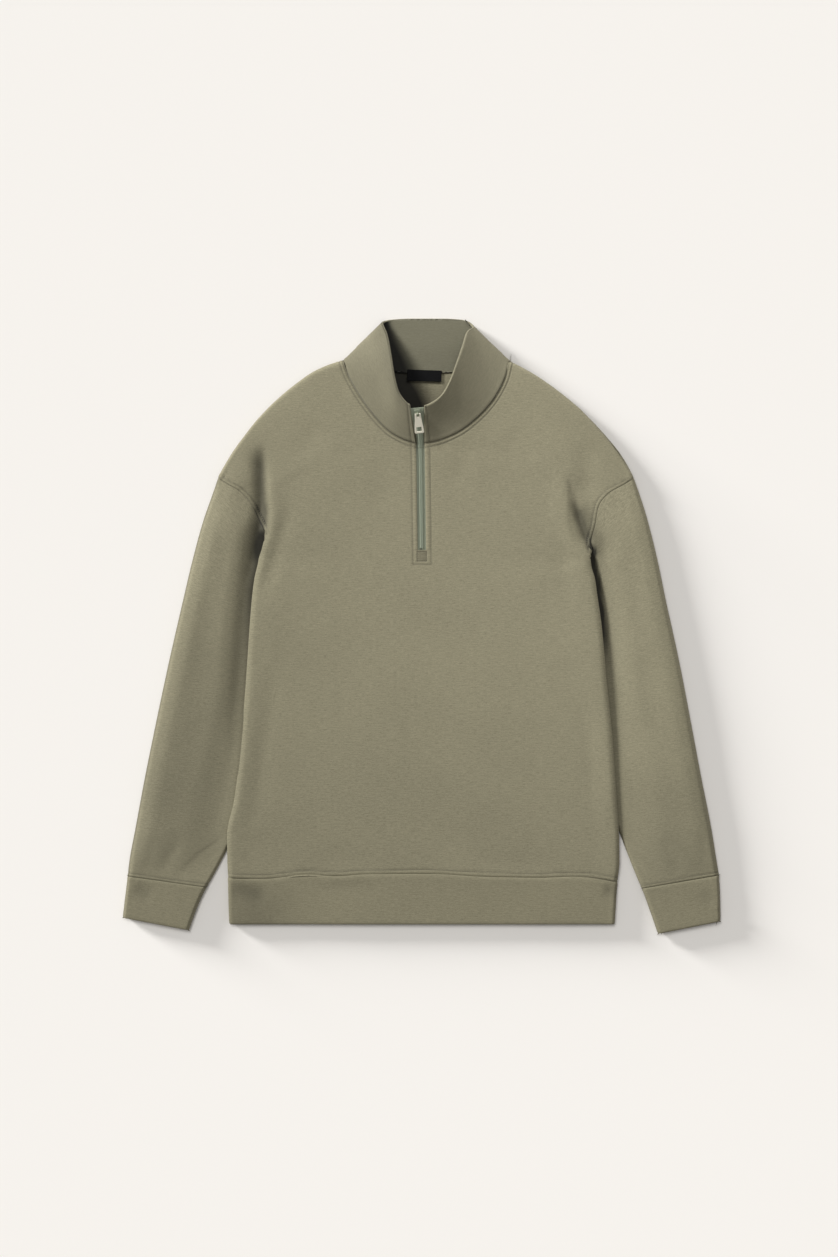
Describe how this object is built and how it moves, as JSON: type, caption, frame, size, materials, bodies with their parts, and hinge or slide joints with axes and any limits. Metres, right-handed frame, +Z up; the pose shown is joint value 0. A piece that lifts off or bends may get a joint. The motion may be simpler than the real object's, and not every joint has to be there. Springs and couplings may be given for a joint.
{
  "type": "half-zip scuba sweatshirt laid flat",
  "caption": "Stand-collar half-zip sweatshirt in smooth scuba knit, drop shoulders, laid flat face up with its sleeves beside the body, ribless cuffs and hem band, metal zip pull.",
  "frame": {"origin": "on the surface the garment lies on, under the middle of its outline", "axes": "+Z up out of the front of the garment, +Y from the hem towards the collar, +X towards the wearer's left sleeve"},
  "size_m": [0.749, 0.7704, 0.0315],
  "materials": {
    "scuba": "smooth matte double knit, sage olive with a fine heather",
    "scuba_band": "the same knit, doubled",
    "zip_tape": "woven tape, grey green",
    "zip_coil": "moulded coil, grey green",
    "metal": "pale warm silver, lightly polished",
    "label": "black woven satin, bare"
  },
  "bodies": {
    "garment": {"front_panel": "scuba", "back_panel": "scuba", "sleeve_right": "scuba", "sleeve_left": "scuba", "cuff_right": "scuba_band", "cuff_left": "scuba_band", "hem_band": "scuba_band", "collar": "scuba", "zip_tape_right": "zip_tape", "zip_tape_left": "zip_tape", "zip_chain": "zip_coil", "zip_slider": "metal", "neck_label": "label"},
    "pull": {"zip_pull": "metal"}
  },
  "joints": [
    {"name": "pull_hinge", "type": "hinge", "parent": "garment", "child": "pull", "pos_m": [-0.00418, 0.2633, 0.02881], "axis": [-0.9946, -0.1039, 0], "range_deg": [0, 150]}
  ]
}
